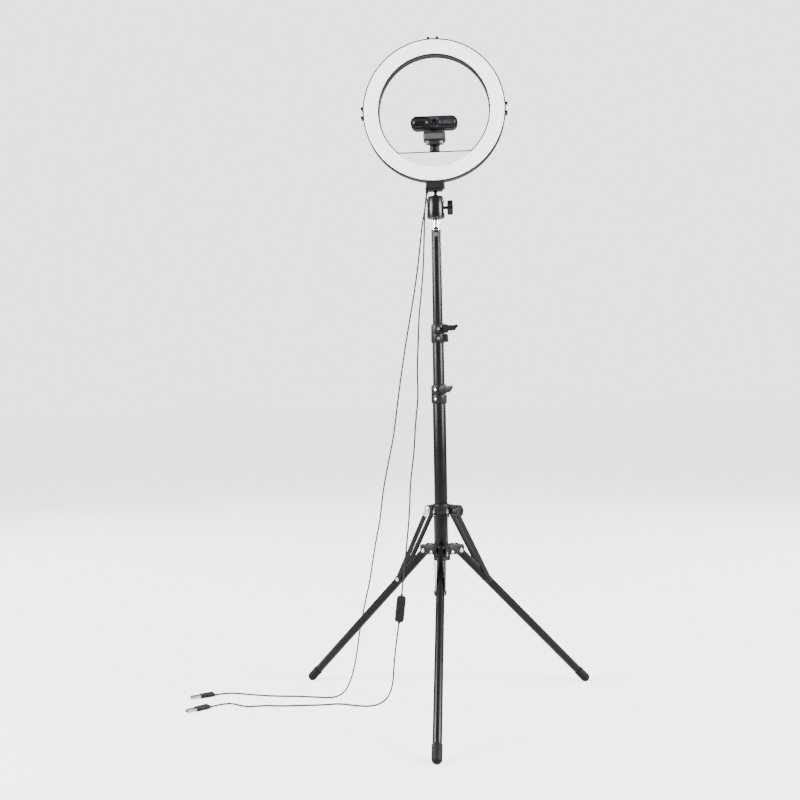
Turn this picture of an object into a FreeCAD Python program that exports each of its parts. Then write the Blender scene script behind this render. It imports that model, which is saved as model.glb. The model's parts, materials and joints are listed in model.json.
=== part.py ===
# Ring light and webcam on a folding light stand, in millimetres, +Z up, feet on z = 0.
# The origin is on the floor under the middle of the three feet's box, the ring faces -Y.
# Every piece is built round the column's own axis, and node() then shifts it back by a
# quarter of foot_reach.
import FreeCAD, Part
import math
import os
import re
import Sketcher

SIZES = {
    # stand: column tubes, radius, wall, lower and upper end
    "base_tube_radius": 12.5, "base_tube_low": 276, "base_tube_top": 587,
    "mid_tube_radius": 11, "mid_tube_low": 362, "mid_tube_top": 702,
    "top_tube_radius": 9.5, "top_tube_low": 547, "top_tube_top": 898,
    "tube_wall": 1.2, "bush_length": 16, "slide_gap": 0.08,
    # stand: legs, struts and the two crowns
    "foot_reach": 323, "foot_radius": 9, "foot_length": 24, "sole_cut": 1,
    "leg_radius": 8, "leg_wall": 1, "leg_tail": 12,
    "pivot_reach": 36, "pivot_height": 290, "pin_radius": 2.2, "pin_gap": 0.06,
    "ear_gap": 0.35, "ear_thick": 2.2, "ear_high": 19,
    "strut_reach": 24, "crown_height": 368, "strut_station": 86, "bar_deep": 9.5,
    "bar_thick": 1.5, "bar_end": 6.5, "crown_lug": 21.6, "bar_gap": 0.25,
    "crown_wall": 3, "crown_high": 25, "head_radius": 3.8, "head_high": 1.5,
    "lock_azimuth": -33, "lock_radius": 12, "lock_thick": 11, "lock_start": 33,
    # stand: the two section clamps
    "clamp_wall": 2.3, "band_low": 16.5, "band_top": 18.5, "band_gap": 1.2,
    "ear_reach": 19.4, "ear_wide": 20.6, "ear_slit": 1.6, "lever_reach": 39,
    "lever_thick": 6, "lever_hub": 5.6, "low_clamp_turn": -30, "bolt_radius": 2.5,
    # ball head and its spigot
    "spigot_radius": 6, "spigot_collar": 4, "screw_radius": 2, "screw_drop": 8,
    "stud_radius": 3.1, "housing_radius": 16.8,
    "housing_low": 921.9, "housing_high": 40.7, "ball_radius": 10.8, "ball_height": 955.8,
    "ball_gap": 0.08, "neck_rise": 17.4, "stem_radius": 3.25, "cup_low": 936.5,
    "knob_height": 941.5, "knob_radius": 13.85, "knob_start": 22, "knob_thick": 10.6,
    "knob_shaft": 3,
    # neck and ring
    "plate_wide": 28.3, "plate_deep": 20, "plate_high": 4.6, "neck_wide": 35.4,
    "neck_deep": 24, "neck_high": 12, "ring_radius": 135, "hole_radius": 104,
    "ring_half": 10, "ring_wall": 2, "ledge_wide": 1.2, "diffuser_thick": 2.4,
    "chord_drop": 78.3, "fit_gap": 0.2, "board_low": 110, "board_high": 125,
    "board_thick": 1.6, "shoe_wide": 21.8, "shoe_slot": 18.6, "shoe_mouth": 12.6,
    "shoe_deep": 18, "shoe_step": 0.7, "shoe_base": 1.2, "shoe_high": 2.1, "shoe_lip": 1.3,
    "boot_radius": 2.6, "boot_length": 11, "boot_wall": 0.4, "boot_slack": 0.45,
    "lead_radius": 1.5, "lead_side": 16.2,
    # webcam and its clip
    "nut_radius": 10, "nut_high": 9.6, "stem_high": 3.6, "stem_width": 3.5,
    "socket_wide": 19.6, "socket_high": 7.8, "socket_deep": 22, "pad_wide": 31.6,
    "pad_high": 4.8, "clip_wide": 41.8, "clip_high": 15.4, "clip_deep": 26,
    "clip_gap": 0.4, "jaw_pin": 1.6, "jaw_barrel": 3.2, "tilt_pin": 1.2,
    "tilt_rise": 2.9, "tilt_ear": 2, "tilt_span": 12.3, "tilt_lug": 3.8, "tilt_knuckle": 2.6,
    "cam_wide": 89, "cam_high": 24, "cam_deep": 22, "cam_wall": 1.8, "cam_panel": 1.6,
    "cam_front": 12, "bezel_side": 17.6, "lens_radius": 7.3, "glass_radius": 4.6,
    # in-line controller and plugs
    "ctrl_wide": 17.5, "ctrl_long": 50, "ctrl_deep": 10, "ctrl_wall": 1.5,
    "button_radius": 3, "button_pitch": 11, "button_gap": 0.1, "button_proud": 1,
    "plug_wide": 15, "plug_long": 26, "plug_deep": 7.5, "shell_wide": 12, "shell_deep": 4.5,
    "shell_long": 19,
}
LEG_AZIMUTHS = {"front": -90, "right": 30, "left": 150}
SHOE_ANGLES = (0, 90, 180)
KNURLS = 24
X, Y, Z = FreeCAD.Vector(1, 0, 0), FreeCAD.Vector(0, 1, 0), FreeCAD.Vector(0, 0, 1)
UPRIGHT = {
    "x": FreeCAD.Rotation(Y, 90),
    "y": FreeCAD.Rotation(X, -90),
    "z": FreeCAD.Rotation(),
}

doc = FreeCAD.newDocument("ring_light_stand")
sheet = doc.addObject("Spreadsheet::Sheet", "Sizes")
sheet.Label = "Sizes"
for row, (alias, number) in enumerate(SIZES.items(), 1):
    sheet.set(f"A{row}", alias)
    sheet.set(f"B{row}", str(number))
    sheet.setAlias(f"B{row}", alias)
doc.recompute()
nodes = []
corners = {}


def linked(text):
    """An expression in which each size is read from the sheet."""
    return re.sub(r"\b([a-z]+_[a-z_]+)\b", r"<<Sizes>>.\1", str(text))


def size(text):
    """The value of an expression of sizes."""
    return float(sheet.evalExpression(linked(text)))


def bind(piece, **sizes):
    for name, text in sizes.items():
        piece.setExpression(name, linked(text))
    return piece


def place(piece, x, y, z, turn=None):
    """Puts a piece at x, y, z, which stay tied to the sheet."""
    turn = turn or FreeCAD.Rotation()
    piece.Placement = FreeCAD.Placement(FreeCAD.Vector(size(x), size(y), size(z)), turn)
    for axis, text in zip("xyz", (x, y, z)):
        piece.setExpression(f"Placement.Base.{axis}", linked(text))
    corners[piece.Name] = (x, y, z)
    return piece


def spot(axis, start, u, v):
    return {"x": (start, u, v), "y": (u, start, v), "z": (u, v, start)}[axis]


def rod(radius, start, end, axis="z", u="0", v="0"):
    """A round bar along an axis, from start to end, at u, v on the other two axes."""
    piece = bind(doc.addObject("Part::Cylinder", "rod"), Radius=radius,
                 Height=f"({end}) - ({start})")
    return place(piece, *spot(axis, start, u, v), UPRIGHT[axis])


def taper(low, high, start, end, axis="z", u="0", v="0"):
    piece = bind(doc.addObject("Part::Cone", "taper"), Radius1=low, Radius2=high,
                 Height=f"({end}) - ({start})")
    return place(piece, *spot(axis, start, u, v), UPRIGHT[axis])


def ball(radius, x="0", y="0", z="0"):
    return place(bind(doc.addObject("Part::Sphere", "ball"), Radius=radius), x, y, z)


def block(x_low, x_high, y_low, y_high, z_low, z_high):
    piece = bind(doc.addObject("Part::Box", "block"), Length=f"({x_high}) - ({x_low})",
                 Width=f"({y_high}) - ({y_low})", Height=f"({z_high}) - ({z_low})")
    return place(piece, x_low, y_low, z_low)


def centred(wide, deep, z_low, z_high, x="0", y="0"):
    """A block centred on x, y."""
    return block(f"{x} - ({wide}) / 2", f"{x} + ({wide}) / 2",
                 f"{y} - ({deep}) / 2", f"{y} + ({deep}) / 2", z_low, z_high)


def fused(*pieces):
    piece = doc.addObject("Part::MultiFuse", "fused")
    piece.Shapes = list(pieces)
    return piece


def less(base, *tools):
    """The base with the tools cut away."""
    piece = doc.addObject("Part::Cut", "cut")
    piece.Base = base
    piece.Tool = tools[0] if len(tools) == 1 else group(*tools)
    return piece


def shared(*pieces):
    piece = doc.addObject("Part::MultiCommon", "shared")
    piece.Shapes = list(pieces)
    return piece


def group(*pieces):
    piece = doc.addObject("Part::Compound", "group")
    piece.Links = list(pieces)
    return piece


def turned_about_column(piece, azimuth):
    copy = group(piece)
    copy.Placement = FreeCAD.Placement(FreeCAD.Vector(), FreeCAD.Rotation(Z, azimuth))
    return copy


def softened(base, radius, wanted):
    """A base whose wanted edges are rounded."""
    doc.recompute()
    value = size(radius)
    piece = doc.addObject("Part::Fillet", "softened")
    piece.Base = base
    piece.Edges = [(i, value, value) for i, edge in enumerate(base.Shape.Edges, 1) if wanted(edge)]
    return piece


def runs_along(axis):
    def wanted(edge):
        if not isinstance(edge.Curve, Part.Line):
            return False
        return abs(edge.Curve.Direction.dot(axis)) > 0.999
    return wanted


def sketched(body, plane, outline):
    """A closed outline of straight lines, each corner tied to the sheet."""
    sketch = body.newObject("Sketcher::SketchObject", "outline")
    sketch.AttachmentSupport = [(f, "") for f in body.Origin.OriginFeatures if f.Role == plane]
    sketch.MapMode = "FlatFace"
    points = [FreeCAD.Vector(size(u), size(v), 0) for u, v in outline]
    for i, point in enumerate(points):
        sketch.addGeometry(Part.LineSegment(point, points[(i + 1) % len(points)]), False)
    for i in range(len(points)):
        following = (i + 1) % len(points)
        sketch.addConstraint(Sketcher.Constraint("Coincident", i, 2, following, 1))
    for i, (u, v) in enumerate(outline):
        for kind, text, axis in (("DistanceX", u, -2), ("DistanceY", v, -1)):
            if abs(size(text)) < 1e-9:
                sketch.addConstraint(Sketcher.Constraint("PointOnObject", i, 1, axis))
                continue
            made = sketch.addConstraint(Sketcher.Constraint(kind, -1, 1, i, 1, size(text)))
            sketch.setExpression(f"Constraints[{made}]", linked(text))
    return sketch


def turned(outline, label="turned"):
    """A lathe-turned body: the outline of (radius, height) corners, swung round Z."""
    body = doc.addObject("PartDesign::Body", label)
    sketch = sketched(body, "XZ_Plane", outline)
    doc.recompute()
    swing = body.newObject("PartDesign::Revolution", "swing")
    swing.Profile = sketch
    swing.ReferenceAxis = (sketch, ["V_Axis"])
    swing.Angle = 360
    body.Tip = swing
    return body


def sawn(outline, thick, plane="XY_Plane"):
    """A body padded evenly both ways from a plane."""
    body = doc.addObject("PartDesign::Body", "sawn")
    sketch = sketched(body, plane, outline)
    doc.recompute()
    pad = body.newObject("PartDesign::Pad", "pad")
    pad.Profile = sketch
    pad.Midplane = True
    bind(pad, Length=thick)
    body.Tip = pad
    return body


def tube(radius, wall, low, high):
    inner = f"{radius} - {wall}"
    return turned([(inner, low), (radius, low), (radius, high), (inner, high)])


def node(piece, label, frame=None):
    """Names a finished piece, and shifts it from the column's axis to its place."""
    if frame:
        piece = group(piece) if piece.Name in corners else piece
        piece.Placement = frame
    piece.Label = label
    y = corners[piece.Name][1] if piece.Name in corners else str(piece.Placement.Base.y)
    piece.setExpression("Placement.Base.y", linked(f"({y}) + foot_reach / 4"))
    nodes.append(piece)
    return piece


# ---- stand: column tubes ----
def column():
    node(tube("base_tube_radius", "tube_wall", "base_tube_low", "base_tube_top"), "lower_tube")
    node(tube("mid_tube_radius", "tube_wall", "mid_tube_low", "mid_tube_top"), "middle_tube")
    screw_hole = rod("screw_radius", "-20", "0", "y", "0", "top_tube_top - screw_drop")
    node(less(tube("top_tube_radius", "tube_wall", "top_tube_low", "top_tube_top"), screw_hole),
         "top_tube")
    for label, outer, inner, low in (
        ("middle_tube_bush", "base_tube_radius", "mid_tube_radius", "mid_tube_low"),
        ("top_tube_bush", "mid_tube_radius", "top_tube_radius", "top_tube_low"),
    ):
        slides_in = f"{outer} - tube_wall - slide_gap"
        bore = f"{inner} - tube_wall - 1.5"
        plug = f"{inner} - tube_wall"
        node(turned([
            (bore, f"{low} - 3"), (slides_in, f"{low} - 3"), (slides_in, low),
            (plug, low), (plug, f"{low} + bush_length"), (bore, f"{low} + bush_length"),
        ]), label)


# ---- stand: legs, struts, crowns ----
FOOT_HIGH = size("foot_radius - sole_cut")
LEG_ANGLE = math.degrees(math.atan2(size("pivot_height") - FOOT_HIGH,
                                    size("foot_reach - pivot_reach")))
LEG_LONG = math.hypot(size("pivot_height") - FOOT_HIGH, size("foot_reach - pivot_reach"))
EAR_INNER = "leg_radius + ear_gap"
EAR_OUTER = "leg_radius + ear_gap + ear_thick"
LUG_HALF = "crown_lug / 2"
BAR_TOP = "crown_lug / 2 + bar_gap"


def in_leg_frame(x, z, angle):
    """A placement in the leg's upright plane, turned down by an angle about the pin's line."""
    return FreeCAD.Placement(FreeCAD.Vector(x, 0, z), FreeCAD.Rotation(Y, angle))


def round_column(azimuth):
    return FreeCAD.Placement(FreeCAD.Vector(), FreeCAD.Rotation(Z, azimuth))


def leg(name, azimuth):
    """A tube from just inside its pivot to the foot, with a plug in its inner end."""
    pin_hole = rod("pin_radius + pin_gap", "-leg_radius - 1", "leg_radius + 1", "y")
    outer = rod("leg_radius", "-leg_tail", f"{LEG_LONG} - 1", "x")
    bore = rod("leg_radius - leg_wall", "-leg_tail - 1", f"{LEG_LONG}", "x")
    wall = less(outer, bore, pin_hole)
    core = less(rod("leg_radius - leg_wall", "-leg_tail", "pin_radius + 6", "x"),
                rod("pin_radius + pin_gap", "-leg_radius - 1", "leg_radius + 1", "y"))
    cap = taper("leg_radius - 2", "leg_radius", "-leg_tail - 2.5", "-leg_tail", "x")
    plug = fused(core, cap)
    swung = in_leg_frame(size("pivot_reach"), size("pivot_height"), LEG_ANGLE)
    node(group(wall, plug), f"{name}_leg", round_column(azimuth) * swung)


def foot(name, azimuth):
    """A rubber cap with a domed end and a small flat sole on the floor."""
    sleeve = rod("foot_radius", f"{LEG_LONG} - foot_length", f"{LEG_LONG}", "x")
    socket = rod("leg_radius", f"{LEG_LONG} - foot_length - 1", f"{LEG_LONG} - 1", "x")
    dome = place(ball("foot_radius"), f"{LEG_LONG}", "0", "0", FreeCAD.Rotation(Y, -90))
    cap = less(fused(sleeve, dome), socket)
    hung = group(cap)
    hung.Placement = in_leg_frame(size("pivot_reach"), size("pivot_height"), LEG_ANGLE)
    below = block("foot_reach - 60", "foot_reach + 60", "-60", "60", "-60", "0")
    node(less(hung, below), f"{name}_foot", round_column(azimuth))


def strut(name, azimuth):
    """Two flat bars, wider apart at the crown than at the leg, with a rivet at each lower end."""
    angle = math.radians(LEG_ANGLE)
    foot_x = size("pivot_reach") + size("strut_station") * math.cos(angle)
    foot_z = size("pivot_height") - size("strut_station") * math.sin(angle)
    across = foot_x - size("strut_reach")
    down = size("crown_height") - foot_z
    long = math.hypot(across, down)
    pieces = []
    for side in (1, -1):
        near, far = f"{side} * ({BAR_TOP})", f"{side} * ({BAR_TOP} + bar_thick)"
        low, high = f"{side} * ({EAR_INNER})", f"{side} * ({EAR_INNER} + bar_thick)"
        kink, end = "2 * bar_end", f"{long} - 2 * bar_end"
        outline = [("0", near), (kink, near), (end, low), (f"{long}", low),
                   (f"{long}", high), (end, high), (kink, far), ("0", far)]
        bar = sawn(outline if side < 0 else outline[::-1], "bar_deep")
        top = rod("bar_end", *sorted((near, far), key=size), "y")
        tip = rod("bar_end", *sorted((low, high), key=size), "y", f"{long}")
        top_hole = rod("pin_radius + pin_gap", f"-crown_lug", f"crown_lug", "y")
        tip_hole = rod("pin_radius", f"-crown_lug", f"crown_lug", "y", f"{long}")
        pieces.append(less(fused(bar, top, tip), top_hole, tip_hole))
        shank = rod("pin_radius", *sorted((low, high), key=size), "y", f"{long}")
        rise = f"{side} * ({EAR_INNER} + bar_thick + head_high)"
        head = rod("head_radius", *sorted((high, rise), key=size), "y", f"{long}")
        pieces.append(fused(shank, head))
    swung = in_leg_frame(size("strut_reach"), size("crown_height"),
                         math.degrees(math.atan2(down, across)))
    node(group(*pieces), f"{name}_strut", round_column(azimuth) * swung)


def pin(reach, height, half):
    """A pin across an ear or lug, with a head on each side."""
    shank = rod("pin_radius", f"-({half})", half, "y", reach, height)
    heads = [rod("head_radius", *ends, "y", reach, height) for ends in (
        (half, f"{half} + head_high"), (f"-({half}) - head_high", f"-({half})"))]
    return fused(shank, *heads)


def lower_crown():
    """The fixed hub at the column's foot: a collar, three pairs of ears and a floor."""
    low, high = "pivot_height - 6.5", "pivot_height - 6.5 + ear_high"
    collar = rod("base_tube_radius + crown_wall + 0.5", "base_tube_low - 2", high)
    pieces = [collar]
    for azimuth in LEG_AZIMUTHS.values():
        for side in (1, -1):
            inner, outer = f"{side} * ({EAR_INNER})", f"{side} * ({EAR_OUTER})"
            ends = sorted((inner, outer), key=size)
            ear = block("base_tube_radius - 2", "pivot_reach + 7", *ends, low, high)
            rounded = softened(ear, "6", lambda edge: edge.BoundBox.XMin > size("pivot_reach")
                               and runs_along(Y)(edge))
            pieces.append(turned_about_column(rounded, azimuth))
    holes = [turned_about_column(rod("pin_radius", "-20", "20", "y", "pivot_reach",
                                     "pivot_height"), a) for a in LEG_AZIMUTHS.values()]
    bore = rod("base_tube_radius", "base_tube_low", f"{high} + 1")
    node(less(fused(*pieces), bore, *holes), "lower_crown")
    pins = [turned_about_column(pin("pivot_reach", "pivot_height", EAR_OUTER), a)
            for a in LEG_AZIMUTHS.values()]
    rivets = []
    for azimuth in LEG_AZIMUTHS.values():
        for side in (1, -1):
            ends = sorted((f"{side} * ({EAR_OUTER})", f"{side} * ({EAR_OUTER} + head_high)"),
                          key=size)
            head = rod("head_radius - 0.8", *ends, "y", "base_tube_radius + 4.5",
                       "pivot_height - 2")
            rivets.append(turned_about_column(head, azimuth))
    node(group(*pins, *rivets), "leg_pins_and_rivets")


def upper_crown():
    """The sliding collar, with a lug for each strut and a boss for its lock knob."""
    low, high = "crown_height - 13", "crown_height - 13 + crown_high"
    collar = rod("base_tube_radius + slide_gap + crown_wall", low, high)
    pieces = [collar]
    holes = []
    for azimuth in LEG_AZIMUTHS.values():
        lug = block("base_tube_radius + 1", "strut_reach + bar_end", f"-({LUG_HALF})", LUG_HALF,
                    "crown_height - 7", "crown_height + 9")
        rounded = softened(lug, "4", lambda edge: edge.BoundBox.XMin > size("strut_reach")
                           and runs_along(Y)(edge))
        recess = block("strut_reach + bar_end - 2", "strut_reach + bar_end + 1", "-5", "4.5",
                       "crown_height + 2.5", "crown_height + 6")
        pieces.append(turned_about_column(less(rounded, recess), azimuth))
        holes.append(turned_about_column(rod("pin_radius", "-20", "20", "y", "strut_reach",
                                             "crown_height"), azimuth))
    boss = rod("7", "base_tube_radius + 1", "lock_start - 8", "x", "0", "crown_height")
    lock = size("lock_azimuth")
    pieces.append(turned_about_column(boss, lock))
    thread = rod("knob_shaft + pin_gap", "base_tube_radius - 2", "lock_start", "x", "0",
                 "crown_height")
    bore = rod("base_tube_radius + slide_gap", f"{low} - 1", f"{high} + 1")
    node(less(fused(*pieces), bore, turned_about_column(thread, lock), *holes), "upper_crown")
    half = f"{BAR_TOP} + bar_thick + bar_gap"
    pins = [turned_about_column(pin("strut_reach", "crown_height", half), a)
            for a in LEG_AZIMUTHS.values()]
    node(group(*pins), "strut_pins")
    end = "lock_start + lock_thick"
    head = lobed_knob("lock_radius", "lock_start", end, "crown_height", 8, "2.2")
    screw = rod("knob_shaft", "base_tube_radius + slide_gap + 0.3", "lock_start", "x", "0",
                "crown_height")
    node(group(head, screw), "crown_lock_knob", round_column(lock))


def lobed_knob(radius, start, end, height, lobes, bite):
    """A round knob on an X axis, with scallops round its rim and a dished face."""
    disc = rod(radius, start, end, "x", "0", height)
    rounded = softened(disc, "1.5", lambda edge: isinstance(edge.Curve, Part.Circle))
    cuts = [rod(bite, f"{start} - 1", f"{end} + 1", "x",
                f"({radius} + 0.4 * {bite}) * cos({360 * (k + 0.5) / lobes} deg)",
                f"{height} + ({radius} + 0.4 * {bite}) * sin({360 * (k + 0.5) / lobes} deg)")
            for k in range(lobes)]
    dish = rod(f"{radius} * 0.45", f"{end} - 1.2", f"{end} + 1", "x", "0", height)
    return less(rounded, *cuts, dish)


# ---- stand: section clamps ----
def clamp(name, gap_height, outer, inner, azimuth, ear_half, lower_ear):
    """A collar fixed to the outer tube, whose split upper band grips the inner tube."""
    grip = f"{outer} + clamp_wall"
    low, high = f"{gap_height} - band_low", f"{gap_height} + band_gap + band_top"
    middle = f"{gap_height} + band_gap + band_top / 2"
    sleeve = turned([("0", low), (f"{grip} - 1", low), (grip, f"{low} + 2"),
                     (grip, f"{high} - 3"), (f"{grip} - 1.6", high), ("0", high)])
    spans = [(f"{middle} - {ear_half}", f"{middle} + {ear_half}")]
    if lower_ear:
        spans.append((f"{low} + 1.5", gap_height))
    ears = [softened(block("0", "ear_reach", "-ear_wide / 2", "ear_wide / 2", *span), "2.5",
                     lambda edge: edge.BoundBox.XMin > size("ear_reach") - 1) for span in spans]
    solid = fused(sleeve, *ears)
    slit = block("0", "ear_reach + 1", "-ear_slit / 2", "ear_slit / 2", gap_height,
                 f"{high} + 1")
    across = block(f"-({grip}) * 0.55", "ear_reach + 1", f"-({grip}) - 1",
                   f"{grip} + 1", gap_height, f"{gap_height} + band_gap")
    lower_bore = rod(outer, f"{low} - 1", f"{gap_height} + band_gap")
    upper_bore = rod(f"{inner} + slide_gap", gap_height, f"{high} + 1")
    bolt_hole = rod("bolt_radius", "-ear_wide", "ear_wide", "y", "ear_reach - 3", middle)
    body = less(solid, slit, across, lower_bore, upper_bore, bolt_hole)
    node(body, f"{name}_clamp", round_column(azimuth))
    screws = []
    for height in (f"{gap_height} + band_gap + band_top * 0.45", f"{gap_height} - band_low * 0.5"):
        head = rod("2.6", f"-({grip}) - 0.9", f"-({grip}) + 0.8", "y", "1.5", height)
        screws.append(less(head, rod("1.1", f"-({grip}) - 1", f"-({grip}) - 0.3", "y", "1.5",
                                     height)))
    seats = group(*screws)
    node(less(seats, rod(f"{grip}", low, high)), f"{name}_clamp_screws", round_column(azimuth))
    face = "ear_wide / 2 + 0.3"
    hub_x = "ear_reach - 3"
    hub = rod("lever_hub", f"-({face}) - lever_thick", f"-({face})", "y", hub_x, middle)
    arm = sawn([(f"{hub_x}", f"{middle} - 5.6"), ("lever_reach - 6.5", f"{middle} - 4.6"),
                ("lever_reach", f"{middle} + 3.4"), ("lever_reach - 1.5", f"{middle} + 6.6"),
                ("lever_reach - 8", f"{middle} + 5.4"), (f"{hub_x}", f"{middle} + 5.6")],
               "lever_thick - 1.4", "XZ_Plane")
    arm = place(arm, "0", f"-({face}) - lever_thick / 2", "0")
    bolt = rod("bolt_radius - pin_gap", f"-({face})", "ear_wide / 2", "y", hub_x, middle)
    nut = rod("4.2", "ear_wide / 2 + 0.3", "ear_wide / 2 + 3.3", "y", hub_x, middle)
    tail = rod("bolt_radius - pin_gap", "ear_wide / 2", "ear_wide / 2 + 0.3", "y", hub_x, middle)
    node(group(fused(hub, arm), fused(bolt, tail, nut)), f"{name}_clamp_lever",
         round_column(azimuth))


# ---- ball head ----
def spigot():
    """A bright stud pressed into the top tube, with a flared collar on the tube's rim."""
    top = "housing_low"
    rim = "top_tube_top"
    inner = "top_tube_radius - tube_wall"
    node(less(turned([
        ("0", f"{rim} - 22"), (inner, f"{rim} - 22"), (inner, rim), ("top_tube_radius", rim),
        ("top_tube_radius", f"{rim} + spigot_collar * 0.6"),
        ("spigot_radius", f"{rim} + spigot_collar * 1.6"), ("spigot_radius", top),
        ("stud_radius", top), ("stud_radius", f"{top} + 9"), ("0", f"{top} + 9"),
    ]), rod("screw_radius", "-20", "0", "y", "0", f"{rim} - screw_drop")), "spigot")
    shank = rod("screw_radius", "-top_tube_radius", "-2", "y", "0", f"{rim} - screw_drop")
    head = rod("head_radius", "-top_tube_radius - 1.4", "-top_tube_radius + 0.9", "y", "0",
               f"{rim} - screw_drop")
    socket = rod("1.5", "-top_tube_radius - 1.5", "-top_tube_radius - 0.4", "y", "0",
                 f"{rim} - screw_drop")
    clear = rod("top_tube_radius", f"{rim} - 20", rim)
    node(fused(less(head, clear, socket), shank), "spigot_screw")


def ball_head():
    """A turned cup body: the ball sits under its lip, on a nylon cup that the knob lifts."""
    low, high = "housing_low", "housing_low + housing_high"
    outer = "housing_radius"
    shell = turned([
        ("0", low), (f"{outer} - 1", low), (outer, f"{low} + 1"), (outer, f"{high} - 4.6"),
        (f"{outer} - 2.8", high), ("0", high),
    ])
    room = "ball_radius + ball_gap"
    lip = taper("0.5", f"({high} - ball_height + 1) * tan(51.5 deg)", "ball_height",
                f"{high} + 1")
    notch = fused(
        rod("stem_radius + 0.35", "0", "housing_radius + 3", "y", "0", "ball_height"),
        block("-stem_radius - 0.35", "stem_radius + 0.35", "0", "housing_radius + 3",
              "ball_height", f"{high} + 1"))
    spot_face = rod("12", "housing_radius - 1.8", "housing_radius + 1", "x", "0", "knob_height")
    thread = rod("knob_shaft + pin_gap", "4", "housing_radius + 1", "x", "0", "knob_height")
    body = less(shell, ball(room, "0", "0", "ball_height"), rod(room, "cup_low", "ball_height"),
                rod("stud_radius + pin_gap", f"{low} - 1", f"{low} + 9.6"), lip, notch,
                spot_face, thread)
    node(body, "ball_housing")
    cup = less(rod("ball_radius", "cup_low", "ball_height - ball_radius * 0.55"),
               ball(room, "0", "0", "ball_height"),
               rod("knob_shaft + 0.5", "5.5", "ball_radius + 2", "x", "0", "knob_height"))
    node(cup, "ball_cup")
    end = "knob_start + knob_thick"
    knob = lobed_knob("knob_radius", "knob_start", end, "knob_height", 5, "4.2")
    screw = rod("knob_shaft", "6.2", "knob_start", "x", "0", "knob_height")
    node(group(knob, screw), "ball_lock_knob")
    stem_top = "ball_height + neck_rise"
    stem = rod("stem_radius", "ball_height", stem_top)
    stud = rod("stud_radius", stem_top, f"{stem_top} + plate_high + 5")
    node(fused(ball("ball_radius", "0", "0", "ball_height"), stem, stud), "ball_and_stud")


# ---- neck and ring ----
PLATE_LOW = "ball_height + neck_rise"
NECK_LOW = "ball_height + neck_rise + plate_high"
RING_LOW = "ball_height + neck_rise + plate_high + neck_high"
LEAD_ROWS = ("-4", "4.6")
RING_MID = "ball_height + neck_rise + plate_high + neck_high + ring_radius"
CHORD = f"{RING_MID} - chord_drop"


def neck():
    """The bracket under the ring: a rounded plate below, a block cut to the rim above."""
    plate = softened(centred("plate_wide", "plate_deep", PLATE_LOW, f"{NECK_LOW}"), "2.2",
                     lambda edge: not runs_along(X)(edge) or edge.BoundBox.ZMax
                     < size(NECK_LOW) - 1)
    upper = softened(centred("neck_wide", "neck_deep", NECK_LOW, f"{RING_LOW} + 4"), "2",
                     runs_along(Z))
    rim = rod("ring_radius", "-neck_deep", "neck_deep", "y", "0", RING_MID)
    stud_hole = rod("stud_radius + pin_gap", f"{PLATE_LOW} - 1", f"{NECK_LOW} + 6")
    seats = [rod("boot_radius", f"{PLATE_LOW} - 1", f"{NECK_LOW} + 3", "z", "-lead_side", y)
             for y in LEAD_ROWS]
    node(less(fused(plate, upper), rim, stud_hole, *seats), "neck_block")
    boots = []
    for y in LEAD_ROWS:
        low = f"{NECK_LOW} + 3 - boot_length"
        sleeve = rod("boot_radius", f"{NECK_LOW} - 2", f"{NECK_LOW} + 3", "z", "-lead_side", y)
        tail = taper("lead_radius + boot_slack + boot_wall", "boot_radius", low,
                     f"{NECK_LOW} - 2", "z", "-lead_side", y)
        bore = rod("lead_radius + boot_slack", f"{low} - 1", f"{low} + 1.5", "z",
                   "-lead_side", y)
        boots.append(less(fused(sleeve, tail), bore))
    node(group(*boots), "lead_boots")


def d_shape(radius, chord_height, front, back):
    """A round slab, flat below a chord, along Y."""
    disc = rod(radius, front, back, "y", "0", RING_MID)
    upper = block(f"-({radius}) - 1", f"{radius} + 1", f"{front} - 1", f"{back} + 1",
                  chord_height, f"{RING_MID} + ({radius}) + 1")
    return shared(disc, upper)


def segment(radius, chord_height, front, back):
    """The part of a round slab below a chord."""
    disc = rod(radius, front, back, "y", "0", RING_MID)
    lower = block(f"-({radius}) - 1", f"{radius} + 1", f"{front} - 1", f"{back} + 1",
                  f"{RING_MID} - ({radius}) - 1", chord_height)
    return shared(disc, lower)


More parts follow.
